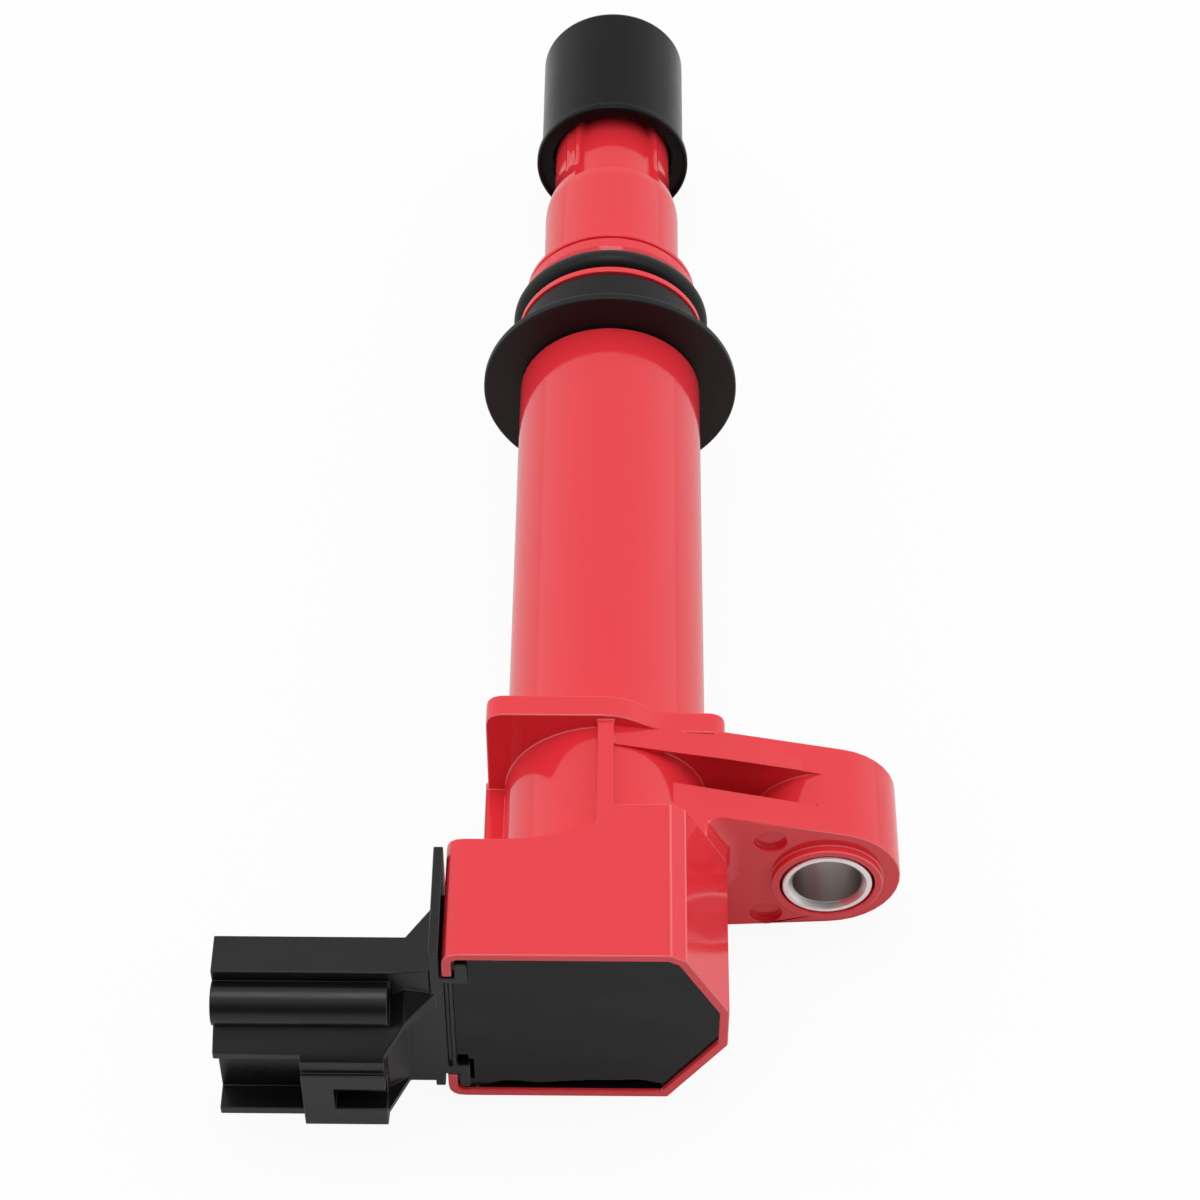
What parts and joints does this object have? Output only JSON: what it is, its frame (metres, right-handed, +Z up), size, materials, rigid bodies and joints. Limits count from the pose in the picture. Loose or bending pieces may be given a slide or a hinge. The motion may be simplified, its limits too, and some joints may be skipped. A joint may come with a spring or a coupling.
{
  "type": "ignition coil",
  "caption": "Pencil ignition coil with a mounting ear, a side connector, a sealing flange and a rubber boot over a sprung plug contact.",
  "frame": {"origin": "middle of the underside of the coil's bounding box, as it lies on its side", "axes": "+Y along the tube towards the plug boot, +X from the connector towards the bolt hole, +Z up"},
  "size_m": [0.0786, 0.1768, 0.0338],
  "materials": {
    "red_polyester": "satin moulded",
    "black_nylon": "satin moulded",
    "potting_resin": "cast, smooth",
    "seal_rubber": "matt",
    "boot_rubber": "satin",
    "limiter_steel": "turned",
    "spring_steel": "drawn wire",
    "core_steel": "rolled",
    "ferrite": "sintered",
    "terminal_brass": "plated",
    "copper": "enamelled wire",
    "bobbin_plastic": "moulded",
    "resistor_ceramic": "fired, matt"
  },
  "bodies": {
    "coil_body": {"housing": "red_polyester", "hv_tower": "red_polyester", "compression_limiter": "limiter_steel", "connector_shell": "black_nylon", "potting": "potting_resin", "flange_seal": "seal_rubber", "o_ring": "seal_rubber", "terminal_power": "terminal_brass", "terminal_ground": "terminal_brass", "terminal_driver": "terminal_brass", "power_lead": "copper", "driver_lead": "copper", "ground_lead": "copper", "core_pad_head_end": "seal_rubber", "magnet_head_end": "ferrite", "iron_core": "core_steel", "magnet_plug_end": "ferrite", "core_pad_plug_end": "seal_rubber", "secondary_bobbin": "bobbin_plastic", "secondary_winding": "copper", "primary_bobbin": "bobbin_plastic", "primary_winding": "copper", "steel_shield": "core_steel", "hv_lead": "copper", "hv_terminal": "terminal_brass", "suppressor_resistor": "resistor_ceramic", "contact_spring": "spring_steel"},
    "contact": {"contact_cap": "terminal_brass"},
    "boot": {"plug_boot": "boot_rubber"}
  },
  "joints": [
    {"name": "contact_slide", "type": "slide", "parent": "coil_body", "child": "contact", "axis": [0, -1, 0], "range_m": [0, 0.006], "stiffness_N_per_m": 500, "deforming": ["contact_spring"]},
    {"name": "boot_pull_off", "type": "slide", "parent": "coil_body", "child": "boot", "axis": [0, 1, 0], "range_m": [0, 0.03]}
  ]
}
